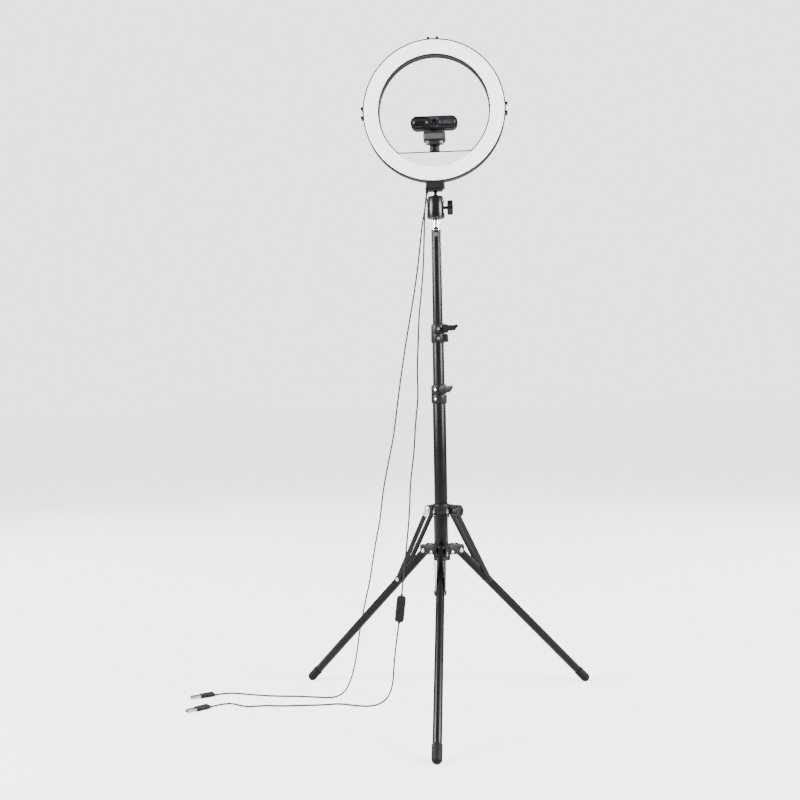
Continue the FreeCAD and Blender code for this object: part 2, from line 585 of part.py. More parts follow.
def ring():
    """The lamp: a back shell, a round diffuser, a fill panel below the chord, and a board."""
    front, back = "-ring_half", "ring_half"
    step = "-ring_half + diffuser_thick"
    floor = "ring_half - ring_wall"
    rim_in = "ring_radius - ring_wall"
    hole_out = "hole_radius + ring_wall"
    ledge_in = "ring_radius - ring_wall - ledge_wide"
    ledge_out = "hole_radius + ring_wall + ledge_wide"
    disc = rod("ring_radius", front, back, "y", "0", RING_MID)
    opening = d_shape("hole_radius", CHORD, f"{front} - 1", f"{back} + 1")
    channel = less(rod(ledge_in, f"{front} - 1", floor, "y", "0", RING_MID),
                   rod(ledge_out, f"{front} - 2", f"{floor} + 1", "y", "0", RING_MID))
    pan = segment("hole_radius + 0.8", f"{CHORD} - ring_wall - ledge_wide", f"{front} - 1", floor)
    rebate = less(rod(rim_in, f"{front} - 1", step, "y", "0", RING_MID),
                  d_shape(hole_out, f"{CHORD} - ring_wall", f"{front} - 2", f"{step} + 1"))
    flats = []
    shoes = []
    rails = []
    for angle in SHOE_ANGLES:
        turn = FreeCAD.Placement(FreeCAD.Vector(0, 0, size(RING_MID)),
                                 FreeCAD.Rotation(Y, angle - 90))
        seat = block("-shoe_wide / 2", "shoe_wide / 2", "-shoe_deep / 2", "shoe_deep / 2",
                     "ring_radius - shoe_step", "ring_radius + 2")
        shoe = cold_shoe()
        for piece, kept in ((seat, flats), (shoe, rails)):
            copy = group(piece)
            copy.Placement = turn
            kept.append(copy)
    stud_hole = rod("stud_radius", f"{CHORD} - 8", f"{CHORD} + 1")
    screw_holes = []
    screws = []
    for k in range(6):
        angle = f"{30 + 60 * k} deg"
        x = f"(ring_radius - 6.5) * cos({angle})"
        z = f"{RING_MID} + (ring_radius - 6.5) * sin({angle})"
        screw_holes.append(rod("1.6", f"{floor} - 1", f"{back} + 1", "y", x, z))
        head = rod("2.9", back, f"{back} + 1.2", "y", x, z)
        shank = rod("1.6", f"{floor} - 2", back, "y", x, z)
        recess = rod("1.1", f"{back} + 0.4", f"{back} + 2", "y", x, z)
        screws.append(less(fused(head, shank), recess))
    shell = less(disc, opening, channel, pan, rebate, *flats, stud_hole, *screw_holes)
    node(shell, "ring_back_shell")
    node(group(*screws), "ring_screws")
    node(group(*rails), "cold_shoes")
    gap = "fit_gap"
    diffuser = less(rod(f"{rim_in} - {gap}", f"{front} - 0.5", step, "y", "0", RING_MID),
                    rod(f"{hole_out} + {gap}", f"{front} - 2", f"{step} + 1", "y", "0", RING_MID))
    node(softened(diffuser, "0.8", lambda edge: edge.BoundBox.YMin < -size("ring_half")),
         "ring_diffuser")
    node(segment(f"{hole_out} - {gap}", f"{CHORD} - ring_wall - {gap}", f"{front} - 0.3", step),
         "fill_panel")
    board = less(rod("board_high", f"{floor} - board_thick", floor, "y", "0", RING_MID),
                 rod("board_low", f"{front}", f"{back}", "y", "0", RING_MID))
    chips = [centred_chip(k) for k in range(30)]
    node(fused(board, *chips), "light_board")


def centred_chip(k):
    """One light chip on the board's front face."""
    angle = f"{12 * k} deg"
    x = f"(board_low + board_high) / 2 * cos({angle})"
    z = f"{RING_MID} + (board_low + board_high) / 2 * sin({angle})"
    face = "ring_half - ring_wall - board_thick"
    return block(f"{x} - 1.75", f"{x} + 1.75", f"{face} - 0.9", f"{face} + 0.2",
                 f"{z} - 1.4", f"{z} + 1.4")


def cold_shoe():
    """A base plate with two rails whose lips leave a narrower mouth, standing along Z."""
    low = "ring_radius - shoe_step"
    top = f"{low} + shoe_base + shoe_high + shoe_lip"
    solid = block("-shoe_wide / 2", "shoe_wide / 2", "-shoe_deep / 2", "shoe_deep / 2", low, top)
    slot = block("-shoe_slot / 2", "shoe_slot / 2", "-shoe_deep / 2 + 1.5", "shoe_deep / 2 + 1",
                 f"{low} + shoe_base", f"{low} + shoe_base + shoe_high")
    mouth = block("-shoe_mouth / 2", "shoe_mouth / 2", "-shoe_deep / 2 - 1",
                  "shoe_deep / 2 + 1", f"{low} + shoe_base", f"{top} + 1")
    return less(solid, slot, mouth)


# ---- webcam mount, clip and webcam ----
SOCKET_LOW = f"{CHORD} + nut_high + stem_high"
SOCKET_TOP = f"{SOCKET_LOW} + socket_high"
CLIP_LOW = f"{SOCKET_TOP} + clip_gap"
CLIP_TOP = f"{CLIP_LOW} + clip_high"
TILT_LINE = f"{CLIP_TOP} + tilt_rise"
CAM_LOW = f"{TILT_LINE} + tilt_rise"
CAM_MID = f"{CAM_LOW} + cam_high / 2"
JAW_Y = "clip_deep / 2 + jaw_barrel - 1"
JAW_Z = f"{SOCKET_TOP} + clip_gap / 2"


def camera_stud():
    """A quarter-inch stud up through the chord wall, its head inside the shell."""
    head_top = f"{CHORD} - ring_wall - ledge_wide"
    head = rod("5", f"{head_top} - 2.6", head_top)
    shank = rod("stud_radius", head_top, f"{SOCKET_LOW} + 5")
    node(fused(head, shank), "camera_stud")
    body = rod("nut_radius", f"{CHORD} + 0.3", f"{CHORD} + nut_high")
    rounded = softened(body, "0.9", lambda edge: isinstance(edge.Curve, Part.Circle))
    cuts = [rod("0.75", CHORD, f"{CHORD} + nut_high + 1", "z",
                f"nut_radius * cos({360 * k / KNURLS} deg)",
                f"nut_radius * sin({360 * k / KNURLS} deg)") for k in range(KNURLS)]
    sleeve = rod("stem_width", f"{CHORD} + nut_high - 0.5", f"{SOCKET_LOW} - 0.3")
    bore = rod("stud_radius + pin_gap", CHORD, f"{SOCKET_LOW} + 1")
    node(less(fused(rounded, sleeve), *cuts, bore), "camera_nut")


def clip():
    """The webcam's clip: a foot with a threaded socket, and a jaw block hinged behind it."""
    socket = softened(centred("socket_wide", "socket_deep", SOCKET_LOW, SOCKET_TOP), "1.5",
                      lambda edge: edge.BoundBox.ZMax < size(SOCKET_LOW) + 0.1)
    arm = block("-socket_wide / 2 + 1", "socket_wide / 2 - 1", "socket_deep / 2 - 1",
                f"{JAW_Y}", f"{SOCKET_TOP} - 3.6", SOCKET_TOP)
    barrel = rod("jaw_barrel", "-socket_wide / 2 + 1", "socket_wide / 2 - 1", "x", JAW_Y, JAW_Z)
    thread = rod("stud_radius + pin_gap", f"{SOCKET_LOW} - 1", f"{SOCKET_LOW} + 5.5")
    pin_hole = rod("jaw_pin + pin_gap", "-clip_wide", "clip_wide", "x", JAW_Y, JAW_Z)
    node(less(fused(socket, arm, barrel), thread, pin_hole), "clip_foot")
    wings = []
    for side in (1, -1):
        inner, outer = f"{side} * socket_wide / 2", f"{side} * pad_wide / 2"
        ends = sorted((inner, outer), key=size)
        pad = block(*ends, "-socket_deep / 2 + 1", "socket_deep / 2 - 1",
                    f"{SOCKET_TOP} - pad_high", f"{SOCKET_TOP} - 0.4")
        wings.append(softened(pad, "2.4", lambda edge: abs(edge.CenterOfMass.x)
                              > size("pad_wide") / 2 - 0.1 and edge.BoundBox.ZMax
                              < size(f"{SOCKET_TOP} - pad_high") + 0.1 and runs_along(Y)(edge)))
    node(group(*wings), "clip_pads")
    jaw = softened(centred("clip_wide", "clip_deep", CLIP_LOW, CLIP_TOP), "2.4",
                   lambda edge: runs_along(Y)(edge) or runs_along(Z)(edge))
    knuckles = [rod("jaw_barrel", *sorted((f"{side} * (socket_wide / 2 - 0.7)",
                                           f"{side} * (clip_wide / 2 - 4)"), key=size),
                    "x", JAW_Y, JAW_Z) for side in (1, -1)]
    webs = [block(*sorted((f"{side} * (socket_wide / 2 - 0.7)", f"{side} * (clip_wide / 2 - 4)"),
                          key=size), "clip_deep / 2 - 3", JAW_Y, CLIP_LOW,
                  f"{CLIP_LOW} + jaw_barrel") for side in (1, -1)]
    room = rod("jaw_barrel + 0.35", "-socket_wide / 2 + 0.7", "socket_wide / 2 - 0.7", "x",
               JAW_Y, JAW_Z)
    ears = []
    for side in (1, -1):
        ends = sorted((f"{side} * tilt_span / 2", f"{side} * (tilt_span / 2 - tilt_ear)"),
                      key=size)
        ears.append(fused(
            block(*ends, "-tilt_knuckle", "tilt_knuckle", f"{CLIP_TOP} - 1", TILT_LINE),
            rod("tilt_knuckle", *ends, "x", "0", TILT_LINE)))
    hollow = fused(less(fused(jaw, *knuckles, *webs), room, rod(
        "jaw_pin", "-clip_wide", "clip_wide", "x", JAW_Y, JAW_Z)), *ears)
    node(less(hollow, rod("tilt_pin", "-20", "20", "x", "0", TILT_LINE)), "clip_jaw")
    jaw_hinge = rod("jaw_pin", "-clip_wide / 2 + 4", "clip_wide / 2 - 4", "x", JAW_Y, JAW_Z)
    tilt_hinge = rod("tilt_pin", "-tilt_span / 2", "tilt_span / 2", "x", "0", TILT_LINE)
    node(group(jaw_hinge, tilt_hinge), "clip_hinge_pins")


def pill(inset, front, back):
    """A slab along Y with full-round ends."""
    high = f"cam_high / 2 - {inset}"
    reach = "cam_wide / 2 - cam_high / 2"
    ends = [rod(high, front, back, "y", f"{side} * ({reach})", CAM_MID) for side in (1, -1)]
    middle = block(f"-({reach})", reach, front, back, f"{CAM_MID} - ({high})",
                   f"{CAM_MID} + ({high})")
    return fused(middle, *ends)


def webcam():
    """A pill-shaped case, open in front, with a panel, a square bezel, a lens and a board."""
    front = "-cam_front"
    back = "cam_deep - cam_front"
    board_back = f"{back} - 6.4"
    rebate = pill("cam_wall", f"{front} - 1", f"{front} + cam_panel")
    cavity = pill("cam_wall + 1.2", f"{front} - 1", f"{back} - cam_wall")
    lug = fused(
        block("-tilt_lug / 2", "tilt_lug / 2", "-tilt_knuckle", "tilt_knuckle", TILT_LINE,
              f"{CAM_LOW} + 1"),
        rod("tilt_knuckle", "-tilt_lug / 2", "tilt_lug / 2", "x", "0", TILT_LINE))
    bump = rod("1.4", f"{CAM_MID} + cam_high / 2 - 1", f"{CAM_MID} + cam_high / 2 + 0.6")
    posts = [rod("1.8", board_back, f"{back} - 1", "y", x, f"{CAM_MID} - 4")
             for x in ("-20", "20")]
    inlet = block("-4.6", "4.6", f"{back} - cam_wall - 1", f"{back} + 1", f"{CAM_MID} - 1.7",
                  f"{CAM_MID} + 1.7")
    hollow = less(pill("0", front, back), rebate, cavity)
    body = less(fused(hollow, lug, bump, *posts),
                rod("tilt_pin + pin_gap", "-20", "20", "x", "0", TILT_LINE), inlet)
    node(body, "webcam_case")
    face = less(pill("cam_wall + fit_gap", front, f"{front} + cam_panel"),
                rod("lens_radius + 0.1", "-30", "0", "y", "0", CAM_MID))
    node(face, "webcam_front_panel")
    plate = softened(block("-bezel_side / 2", "bezel_side / 2", f"{front} - 0.8", front,
                           f"{CAM_MID} - bezel_side / 2", f"{CAM_MID} + bezel_side / 2"),
                     "2.4", runs_along(Y))
    node(less(plate, rod("lens_radius", "-30", "0", "y", "0", CAM_MID)), "lens_bezel")
    barrel = less(rod("lens_radius", f"{front} - 1.6", f"{back} - 8", "y", "0", CAM_MID),
                  rod("glass_radius", f"{front} - 3", f"{front} + 7", "y", "0", CAM_MID),
                  taper("lens_radius - 1.1", "glass_radius", f"{front} - 1.7", f"{front} + 0.4",
                        "y", "0", CAM_MID))
    node(barrel, "lens_barrel")
    dome = shared(rod("glass_radius", f"{front} - 1", f"{front} + 3", "y", "0", CAM_MID),
                  ball("glass_radius * 1.6", "0", f"{front} + 0.6 + glass_radius * 1.6",
                       CAM_MID))
    node(dome, "lens_glass")
    node(block("-24", "24", f"{back} - 8", board_back, f"{CAM_MID} - 8", f"{CAM_MID} + 8"),
         "sensor_board")


# ---- leads, controller and plugs ----
# Corner points of each lead's centreline, from the neck to the plug, in mm from the
# column's axis and the floor. The lamp's lead is cut in two by its controller.
WEBCAM_LEAD = [
    (-16.2, 4.6, 971), (-18.2, 5.4, 961), (-21, 7.2, 943), (-25.6, 10.8, 921),
    (-31, 16.5, 884), (-37, 25, 838), (-45, 34, 790), (-55.5, 43.5, 738),
    (-67, 53, 680), (-77, 60, 622), (-86, 66.5, 564), (-94, 73, 508),
    (-107, 80, 452), (-119, 87, 396), (-126, 94, 340), (-139, 102, 284),
    (-149, 110, 224), (-162, 117, 170), (-174, 117, 115), (-179, 94, 64),
    (-185, 62, 30), (-197, 39, 8), (-216, 29, 1.7), (-245, 31, 1.7),
    (-284, 38, 1.7), (-328, 37, 1.7), (-372, 44, 1.7), (-414, 56, 1.7),
    (-438, 56, 1.7), (-452, 47, 1.7),
]
LAMP_LEAD = [
    (-16.2, -4, 971), (-18.4, -4, 960), (-20.4, -3.2, 940), (-21.6, -2, 915),
    (-23.4, -1, 878), (-25.4, -0.6, 832), (-29.6, -0.4, 786), (-35.6, -0.4, 738),
    (-37.6, 0, 690), (-41, 0.4, 636), (-39.6, 0.8, 584), (-46.2, 1.2, 532),
    (-49.4, 1.6, 478), (-58, 2.4, 420), (-60.4, 4, 362), (-66.6, 6.4, 308),
    (-72, 9, 262), (-76.5, 11, 226), (-78.6, 12, 207),
]
LAMP_LEAD_END = [
    (-85.8, 15.1, 148), (-88.6, 16.2, 131), (-93.5, 18.4, 98), (-97.6, 21.6, 62),
    (-100, 22.6, 30), (-108, 14, 8), (-121, -10, 1.7), (-142, -27, 1.7),
    (-172, -20, 1.7), (-200, -9, 1.7), (-232, -19, 1.7), (-270, -22, 1.7),
    (-306, -27, 1.7), (-344, -24, 1.7), (-376, -35, 1.7), (-408, -10, 1.7),
    (-430, -20, 1.7), (-442, -32, 1.7),
]


def route_wire(points, label):
    """Straight runs joined by arcs, each arc as large as its two runs allow."""
    points = [FreeCAD.Vector(*p) for p in points]
    edges = []
    start = points[0]
    radii = []
    for before, corner, after in zip(points, points[1:], points[2:]):
        into, out = (corner - before), (after - corner)
        shorter = min(into.Length, out.Length)
        into.normalize()
        out.normalize()
        turn = into.getAngle(out)
        cut = 0.45 * shorter
        first, last = corner - into * cut, corner + out * cut
        inward = out - into
        inward.normalize()
        radius = cut / math.tan(turn / 2)
        radii.append(round(radius))
        middle = corner + inward * (radius / math.cos(turn / 2) - radius)
        edges.append(Part.LineSegment(start, first).toShape())
        edges.append(Part.Arc(first, middle, last).toShape())
        start = last
    edges.append(Part.LineSegment(start, points[-1]).toShape())
    wire = Part.Wire(edges)
    print(label, "length", round(wire.Length, 1), "smallest radius", min(radii), "radii", radii)
    return wire


def lead_tube(points, label):
    radius = size("lead_radius")
    wire = route_wire(points, label)
    along = FreeCAD.Vector(*points[1]) - FreeCAD.Vector(*points[0])
    ring_edge = Part.Circle(FreeCAD.Vector(*points[0]), along, radius).toShape()
    solid = wire.makePipeShell([Part.Wire([ring_edge])], True, True)
    expected = wire.Length * math.pi * radius ** 2
    if abs(solid.Volume / expected - 1) > 0.01:
        raise ValueError(f"{label} is {solid.Volume:.1f} mm3 and should be {expected:.1f}")
    feature = doc.addObject("Part::Feature", label)
    feature.Shape = solid
    return feature


def leads():
    node(lead_tube(WEBCAM_LEAD, "webcam_lead"), "webcam_lead")
    upper = lead_tube(LAMP_LEAD, "lamp_lead_upper")
    lower = lead_tube(LAMP_LEAD_END, "lamp_lead_lower")
    node(group(upper, lower), "lamp_lead")
    grips = []
    shells = []
    for points in (WEBCAM_LEAD, LAMP_LEAD_END):
        end = FreeCAD.Vector(*points[-1])
        before = FreeCAD.Vector(*points[-2])
        aim = FreeCAD.Placement(end, FreeCAD.Rotation(X, FreeCAD.Vector(
            end.x - before.x, end.y - before.y, 0)))
        grip = softened(block("8", "8 + plug_long", "-plug_wide / 2", "plug_wide / 2",
                              "-lead_radius - 0.2", "plug_deep - lead_radius - 0.2"), "1.8",
                        runs_along(X))
        boot = less(taper("lead_radius + 0.1", "3", "0", "8", "x", "0", "0"),
                    block("-1", "9", "-5", "5", "-9", "-lead_radius - 0.2"))
        shell_low = "(plug_deep - shell_deep) / 2 - lead_radius - 0.2"
        shell = block("8 + plug_long", "8 + plug_long + shell_long", "-shell_wide / 2",
                      "shell_wide / 2", shell_low, f"{shell_low} + shell_deep")
        mouth = block("10 + plug_long", "9 + plug_long + shell_long", "-shell_wide / 2 + 0.5",
                      "shell_wide / 2 - 0.5", f"{shell_low} + 0.5",
                      f"{shell_low} + shell_deep - 0.5")
        for piece, kept in ((fused(grip, boot), grips), (less(shell, mouth), shells)):
            copy = group(piece)
            copy.Placement = aim
            kept.append(copy)
    node(group(*grips, *shells), "usb_plugs")


def controller():
    """An in-line switch box, two half shells round a board, with three sprung buttons."""
    start, end = FreeCAD.Vector(*LAMP_LEAD[-1]), FreeCAD.Vector(*LAMP_LEAD_END[0])
    middle = (start + end) * 0.5
    down = end - start
    relief = f"({down.Length} - ctrl_long) / 2"
    down.normalize()
    face = FreeCAD.Vector(0, -1, 0)
    face = face - down * face.dot(down)
    turn = FreeCAD.Rotation(down.cross(face) * -1, face, down * -1, "YZX")
    frame = FreeCAD.Placement(middle, turn)
    long = "ctrl_long / 2"
    slab = softened(block("-ctrl_wide / 2", "ctrl_wide / 2", "-ctrl_deep / 2", "ctrl_deep / 2",
                          f"-({long})", long), "5", runs_along(Y))
    slab = softened(slab, "2", lambda edge: abs(edge.CenterOfMass.y) > size("ctrl_deep") / 2
                    - 0.1)
    room = softened(block("-ctrl_wide / 2 + ctrl_wall", "ctrl_wide / 2 - ctrl_wall",
                          "-ctrl_deep / 2 + ctrl_wall", "ctrl_deep / 2 - ctrl_wall",
                          f"-({long}) + ctrl_wall", f"{long} - ctrl_wall"), "3.5", runs_along(Y))
    front_half = block("-20", "20", "0", "20", "-60", "60")
    holes = [rod("button_radius + button_gap", "0", "20", "y", "0", f"{k} * button_pitch")
             for k in (-1, 0, 1)]
    reliefs = [taper("2.9", "lead_radius + 0.4", long, f"{long} + {relief}"),
               taper("lead_radius + 0.4", "2.9", f"-({long}) - {relief}", f"-({long})")]
    hollow = less(slab, room)
    node(fused(less(hollow, front_half), *reliefs), "controller_back", frame)
    rear_half = block("-20", "20", "-20", "0", "-60", "60")
    node(less(hollow, rear_half, *holes), "controller_front", frame)
    node(block("-6", "6", "-3.4", "-1.8", "-20", "20"), "controller_board", frame)
    for k, name in zip((-1, 0, 1), ("dim", "mode", "power")):
        height = f"{k} * button_pitch"
        stem = rod("button_radius", "0.6", "ctrl_deep / 2 + button_proud", "y", "0", height)
        flange = rod("button_radius + 0.8", "2.2", "3.2", "y", "0", height)
        node(fused(stem, flange), f"{name}_button", frame)


column()
for leg_name, leg_azimuth in LEG_AZIMUTHS.items():
    leg(leg_name, leg_azimuth)
    foot(leg_name, leg_azimuth)
    strut(leg_name, leg_azimuth)
lower_crown()
upper_crown()
clamp("upper", "mid_tube_top", "mid_tube_radius", "top_tube_radius", 0, 7.7, True)
clamp("lower", "base_tube_top", "base_tube_radius", "mid_tube_radius", size("low_clamp_turn"),
      6.5, False)
spigot()
ball_head()
neck()
ring()
camera_stud()
clip()
webcam()
leads()
controller()

doc.recompute()
for item in doc.Objects:
    if {"Invalid", "Error"} & set(item.State):
        raise RuntimeError(f"{item.Label} failed: {item.State}")
os.makedirs("parts", exist_ok=True)
for item in nodes:
    shape = item.Shape
    if shape.isNull() or not shape.isValid() or not shape.Solids:
        raise RuntimeError(f"{item.Label} has no valid shape")
    shape.exportStep(f"parts/{item.Label}.step")
print(len(nodes), "nodes")
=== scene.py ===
# A ring lamp and a clipped webcam on a folding light stand: finishes, leads and studio.
import json
import math

import bpy
from mathutils import Matrix, Vector


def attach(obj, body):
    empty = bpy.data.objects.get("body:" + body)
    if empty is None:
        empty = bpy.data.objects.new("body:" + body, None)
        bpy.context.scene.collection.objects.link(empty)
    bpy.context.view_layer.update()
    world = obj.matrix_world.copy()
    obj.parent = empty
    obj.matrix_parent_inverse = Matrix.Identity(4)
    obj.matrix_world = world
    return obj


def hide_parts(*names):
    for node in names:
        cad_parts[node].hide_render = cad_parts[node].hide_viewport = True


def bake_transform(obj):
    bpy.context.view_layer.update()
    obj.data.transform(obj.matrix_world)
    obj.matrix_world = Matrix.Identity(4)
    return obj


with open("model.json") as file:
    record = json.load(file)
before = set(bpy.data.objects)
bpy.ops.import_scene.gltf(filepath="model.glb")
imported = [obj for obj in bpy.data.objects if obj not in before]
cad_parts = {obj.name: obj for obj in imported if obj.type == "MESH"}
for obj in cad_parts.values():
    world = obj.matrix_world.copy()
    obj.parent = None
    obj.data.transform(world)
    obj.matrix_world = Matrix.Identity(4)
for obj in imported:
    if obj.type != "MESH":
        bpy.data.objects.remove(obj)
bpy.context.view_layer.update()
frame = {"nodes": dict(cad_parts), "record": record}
nodes = frame["nodes"]
bodies = frame["record"]["behaviour"]["bodies"]
body_of = {node: body for body, members in bodies.items() for node in members}
MM = 0.001


def box_of(node):
    """The lowest and highest corner of a CAD node's box."""
    around = [Vector(corner) for corner in nodes[node].bound_box]
    return [Vector([pick(corner[i] for corner in around) for i in range(3)])
            for pick in (min, max)]


# ---- finishes ----
def linear(colour):
    """An sRGB hex colour as linear light."""
    channels = [int(colour[i:i + 2], 16) / 255 for i in (1, 3, 5)]
    return [c / 12.92 if c <= 0.04045 else ((c + 0.055) / 1.055) ** 2.4 for c in channels] + [1]


def add(owner, kind, inputs, **settings):
    """Adds a shader node to a material or world, with its settings, values and links."""
    tree = owner.node_tree
    made = tree.nodes.new("ShaderNode" + kind)
    for name, value in settings.items():
        setattr(made, name, value)
    for name, value in inputs.items():
        if isinstance(value, bpy.types.NodeSocket):
            tree.links.new(value, made.inputs[name])
        else:
            made.inputs[name].default_value = value
    return made


def new_material(name):
    material = bpy.data.materials.new(name)
    material.use_nodes = True
    material.node_tree.nodes.clear()
    return material


def close(material, surface):
    """Joins the finished surface to the material's output."""
    add(material, "OutputMaterial", {"Surface": surface.outputs[0]})
    return material


# A cloudy change of colour and gloss this far across lies over every grained surface.
CLOUD_MM = 40
GLOSS_SPREAD = 0.12
# What a wave texture of scale 1 measures from one ring to the next.
WAVE_PERIOD = 0.314
RING_DEPTH_MM = 0.02


def grained(name, colour, second, roughness, grain_mm, depth_mm, **sockets):
    """A surface whose fine grain varies its colour and gloss and raises tiny bumps."""
    material = new_material(name)
    place = add(material, "TexCoord", {}).outputs["Object"]
    grain = add(material, "TexNoise", {"Vector": place, "Scale": 1 / (grain_mm * MM),
                                       "Detail": 3.0, "Roughness": 0.6})
    cloud = add(material, "TexNoise", {"Vector": place, "Scale": 1 / (CLOUD_MM * MM),
                                       "Detail": 2.0})
    mixed = add(material, "Mix", {"Factor": cloud.outputs["Fac"], "A": linear(colour),
                                  "B": linear(second)}, data_type="RGBA")
    gloss = add(material, "MapRange", {"Value": cloud.outputs["Fac"],
                                       "From Min": 0.3, "From Max": 0.7,
                                       "To Min": roughness * (1 - GLOSS_SPREAD),
                                       "To Max": roughness * (1 + GLOSS_SPREAD)})
    bump = add(material, "Bump", {"Height": grain.outputs["Fac"], "Strength": 1.0,
                                  "Distance": depth_mm * MM})
    return close(material, add(material, "BsdfPrincipled", {
        "Base Color": mixed.outputs["Result"], "Roughness": gloss.outputs["Result"],
        "Normal": bump.outputs["Normal"], **sockets}))


def turned_metal(name, colour, roughness, ring_mm, **sockets):
    """Metal off a lathe, with fine tool rings one above another."""
    material = new_material(name)
    place = add(material, "TexCoord", {}).outputs["Object"]
    rings = add(material, "TexWave", {"Vector": place, "Scale": WAVE_PERIOD / (ring_mm * MM),
                                      "Distortion": 0.6, "Detail": 2.0},
                wave_type="BANDS", bands_direction="Z")
    bump = add(material, "Bump", {"Height": rings.outputs["Fac"], "Strength": 0.25,
                                  "Distance": RING_DEPTH_MM * MM})
    gloss = add(material, "MapRange", {"Value": rings.outputs["Fac"],
                                       "To Min": roughness * 0.8, "To Max": roughness * 1.25})
    return close(material, add(material, "BsdfPrincipled", {
        "Base Color": linear(colour), "Metallic": 1.0, "Roughness": gloss.outputs["Result"],
        "Normal": bump.outputs["Normal"], **sockets}))


# Powder coat on the drawn tubes: near-black, with a faint orange peel.
powder_coat = grained("powder_coated_aluminium", "#0B0B0C", "#101011", 0.33, 1.6, 0.012,
                      **{"Specular IOR Level": 0.15})
# Glass-filled nylon from a spark-eroded mould: even, dull, with a grain a fingernail feels.
nylon = grained("spark_grained_nylon", "#101011", "#161617", 0.45, 0.9, 0.035,
                **{"Specular IOR Level": 0.2})
# Anodised aluminium, bead blasted: the ball head's and shoes' darker, silkier black.
anodised = grained("black_anodised_aluminium", "#090909", "#0D0D0E", 0.25, 0.5, 0.006,
                   **{"Specular IOR Level": 0.2, "IOR": 1.6})
# Satin ABS: the lamp's shell, the controller and the plugs' grips, smoother than the nylon.
satin_abs = grained("satin_abs", "#0F0F11", "#151518", 0.38, 0.7, 0.015,
                    **{"Specular IOR Level": 0.2})
# Soft-touch coating on the webcam's case: dull with a broad sheen.
soft_touch = grained("soft_touch_case", "#161617", "#1B1B1C", 0.52, 0.4, 0.006,
                     **{"Specular IOR Level": 0.2})
# The webcam's acrylic window and lens barrel: near-black with soft reflections.
window_black = grained("polished_black_acrylic", "#19181B", "#1D1C20", 0.30, 6.0, 0.0005,
                       **{"Specular IOR Level": 0.22})
# The webcam's strip and lens bezel: dark grey satin.
strip_grey = grained("satin_grey_abs", "#2A2A2B", "#303031", 0.42, 0.5, 0.006,
                     **{"Specular IOR Level": 0.3})
# Painted jaw face: mid grey satin.
jaw_grey = grained("mid_grey_satin", "#3A3A3B", "#424243", 0.45, 0.5, 0.006,
                   **{"Specular IOR Level": 0.3})
# Natural light grey elastomer on the clip's pads.
pad_grey = grained("light_grey_elastomer", "#6F7072", "#7A7B7D", 0.6, 0.8, 0.02)
# Natural rubber caps and boots: dull, faintly dusty black.
rubber = grained("black_rubber", "#0E0E0E", "#141414", 0.60, 0.8, 0.03,
                 **{"Specular IOR Level": 0.15})
# Smooth PVC jacket with the slight waviness of an extruded cord.
pvc = grained("dark_grey_pvc", "#1C1D1F", "#232426", 0.40, 3.0, 0.03,
              **{"Specular IOR Level": 0.25})
# Opal acrylic, frosted on the outside: it scatters light and hides the chips.
opal = grained("frosted_opal_acrylic", "#F3F5F6", "#FAFBFC", 0.48, 1.0, 0.008,
               **{"Subsurface Weight": 0.25, "Subsurface Radius": (0.004, 0.004, 0.004)})
# White ABS panel, satin.
white_panel = grained("satin_white_abs", "#D2D4D6", "#D9DBDD", 0.40, 1.0, 0.008)
# Bright nickel plate on the spigot and its screw.
nickel = turned_metal("bright_nickel_plate", "#DADBDD", 0.12, 0.5)
# Zinc plated rivets, screws and plug shells: darker and duller than nickel.
zinc = turned_metal("zinc_plated_steel", "#C6C8CB", 0.28, 0.4)
# Black oxide on turned steel: the ball, its stem, the knurled nut and the hinge pins.
black_oxide = turned_metal("black_oxide_steel", "#19191B", 0.26, 0.5)
# Blackened flat bar: paint over rolled steel.
black_bar = grained("painted_flat_bar", "#0D0D0E", "#121213", 0.34, 1.2, 0.015,
                    **{"Specular IOR Level": 0.2})
# Multicoated lens: dark, with a violet cast and a hard highlight.
coated_glass = grained("multicoated_glass", "#0A0A0E", "#100F18", 0.04, 8.0, 0.001,
                       **{"Coat Weight": 0.4, "Coat Roughness": 0.05, "IOR": 1.5})
# Green solder mask over glass cloth.
solder_mask = grained("green_solder_mask", "#12402A", "#185036", 0.35, 0.8, 0.02)
# Natural nylon: the bushes and the ball's cup.
natural_nylon = grained("natural_nylon", "#D8D6CC", "#E2E0D6", 0.45, 1.0, 0.01)

